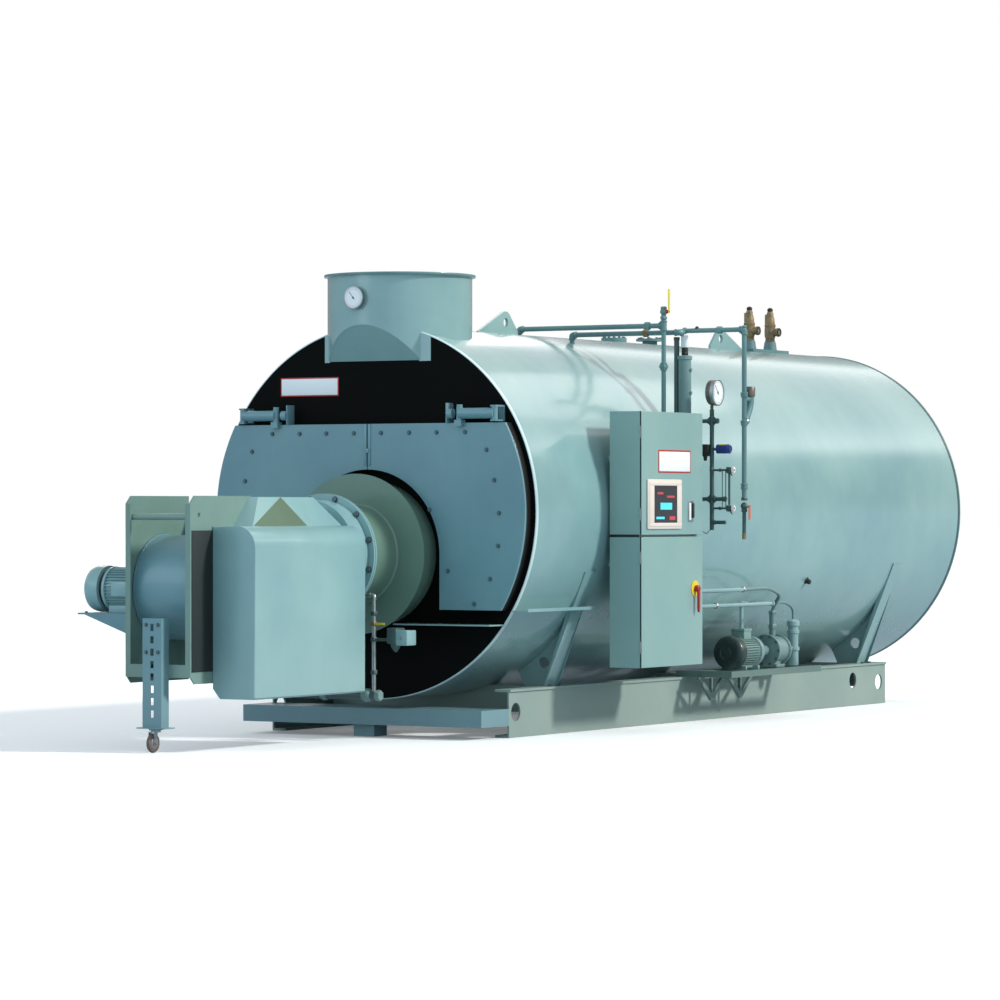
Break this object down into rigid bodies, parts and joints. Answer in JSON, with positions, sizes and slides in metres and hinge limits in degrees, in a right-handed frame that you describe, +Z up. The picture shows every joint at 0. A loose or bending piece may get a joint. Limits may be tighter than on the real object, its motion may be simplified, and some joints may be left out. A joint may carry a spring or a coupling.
{
  "type": "industrial steam boiler",
  "caption": "Packaged horizontal fire-tube steam boiler on a channel skid, with burner, fan, control cabinet, level trim and feed pump.",
  "frame": {"origin": "on the floor, at the middle of the boiler's width, in the plane of the front plate's outer face; it lies on the underside of the front platform's foot", "axes": "+X to the right as seen from the burner end, +Y from the burner end to the rear, +Z up"},
  "size_m": [3.3541, 10.255, 3.48],
  "materials": {
    "shell_paint": "gloss pale green-grey enamel",
    "front_paint": "satin blue-green enamel",
    "black_plate": "satin black enamel",
    "rail_paint": "satin grey-green enamel",
    "cabinet_paint": "semi-gloss pale green-grey enamel",
    "display_plastic": "moulded, smooth",
    "latch_metal": "zinc plated",
    "plate_yellow": "gloss enamel",
    "handle_red": "gloss enamel",
    "caster_rubber": "solid moulded tread",
    "bronze": "cast bronze, as machined",
    "pipe_steel": "satin grey-green enamel",
    "gauge_case": "polished case with a white face",
    "control_plastic": "moulded, smooth",
    "pump_paint": "dark green enamel",
    "conduit_black": "ribbed flexible conduit"
  },
  "bodies": {
    "root": {"air_box": "front_paint", "base_rail_left": "rail_paint", "base_rail_right": "rail_paint", "burner_flange": "front_paint", "burner_neck": "front_paint", "burner_ring": "front_paint", "burner_windbox": "front_paint", "cabinet_body": "cabinet_paint", "cabinet_brackets": "shell_paint", "cable_tray": "shell_paint", "cross_members": "rail_paint", "crossover_pipes": "shell_paint", "davit_brackets": "front_paint", "drain_line": "pipe_steel", "fan_frame": "front_paint", "fan_motor": "front_paint", "fan_scroll": "front_paint", "front_plate": "black_plate", "front_platform": "front_paint", "front_shelves": "shell_paint", "gas_actuator": "control_plastic", "gas_train": "pipe_steel", "gauge_manifold": "latch_metal", "level_glass": "bronze", "lifting_lugs": "shell_paint", "motor_shelf_bracket": "front_paint", "pressure_controls": "control_plastic", "pump_conduits": "conduit_black", "pump_head": "pump_paint", "pump_motor": "pump_paint", "pump_skid": "rail_paint", "pump_strainer": "pipe_steel", "rear_plate": "shell_paint", "saddle_front": "shell_paint", "saddle_rear": "shell_paint", "safety_valves": "bronze", "shell_jacket": "shell_paint", "stack_collar": "shell_paint", "stack_thermometer": "gauge_case", "steam_gauge": "gauge_case", "support_leg": "front_paint", "top_nozzles": "shell_paint", "vent_valve": "pipe_steel", "water_column": "shell_paint"},
    "door_arm_right": {"davit_arm_right": "front_paint"},
    "door_arm_left": {"davit_arm_left": "front_paint"},
    "door_right": {"front_door_right": "front_paint"},
    "door_left": {"front_door_left": "front_paint"},
    "upper_door": {"cabinet_door_upper": "cabinet_paint", "display_panel": "display_plastic", "cabinet_latch": "latch_metal"},
    "lower_door": {"cabinet_door_lower": "cabinet_paint", "isolator_plate": "plate_yellow"},
    "isolator_handle": {"isolator_handle": "handle_red"},
    "caster_fork": {"caster_fork": "latch_metal"},
    "caster_wheel": {"caster_wheel": "caster_rubber"},
    "vent_lever": {"vent_valve_lever": "plate_yellow"},
    "drain_lever": {"drain_valve_lever": "plate_yellow"}
  },
  "joints": [
    {"name": "door_arm_right", "type": "hinge", "parent": "root", "child": "door_arm_right", "pos_m": [1.11, -0.11, 2.399], "axis": [0, 0, 1], "range_deg": [0, 90]},
    {"name": "door_right", "type": "hinge", "parent": "door_arm_right", "child": "door_right", "pos_m": [0.81, -0.11, 2.399], "axis": [0, 0, 1], "range_deg": [-90, 0]},
    {"name": "door_arm_left", "type": "hinge", "parent": "root", "child": "door_arm_left", "pos_m": [-1.11, -0.11, 2.399], "axis": [0, 0, -1], "range_deg": [0, 90]},
    {"name": "door_left", "type": "hinge", "parent": "door_arm_left", "child": "door_left", "pos_m": [-0.81, -0.11, 2.399], "axis": [0, 0, -1], "range_deg": [-90, 0]},
    {"name": "cabinet_door_upper", "type": "hinge", "parent": "root", "child": "upper_door", "pos_m": [1.6813, 1.066, 1.965], "axis": [0, 0, -1], "range_deg": [0, 120]},
    {"name": "cabinet_door_lower", "type": "hinge", "parent": "root", "child": "lower_door", "pos_m": [1.6813, 1.066, 0.992], "axis": [0, 0, -1], "range_deg": [0, 120]},
    {"name": "isolator_handle", "type": "hinge", "parent": "lower_door", "child": "isolator_handle", "pos_m": [1.71, 1.925, 1.085], "axis": [1, 0, 0], "range_deg": [0, 90]},
    {"name": "caster_swivel", "type": "hinge", "parent": "root", "child": "caster_fork", "pos_m": [-0.13, -2.645, 0.15], "axis": [0, 0, 1], "continuous": true},
    {"name": "caster_roll", "type": "hinge", "parent": "caster_fork", "child": "caster_wheel", "pos_m": [-0.13, -2.677, 0.068], "axis": [1, 0, 0], "continuous": true},
    {"name": "vent_valve_lever", "type": "hinge", "parent": "root", "child": "vent_lever", "pos_m": [1.35, 2.15, 3.2283], "axis": [1, 0, 0], "range_deg": [-90, 0]},
    {"name": "drain_valve_lever", "type": "hinge", "parent": "root", "child": "drain_lever", "pos_m": [1.95, 2.35, 1.718], "axis": [1, 0, 0], "range_deg": [0, 90]}
  ],
  "couplings": [
    {"joint": "door_right", "follows": "door_arm_right", "ratio": -1},
    {"joint": "door_left", "follows": "door_arm_left", "ratio": -1}
  ]
}
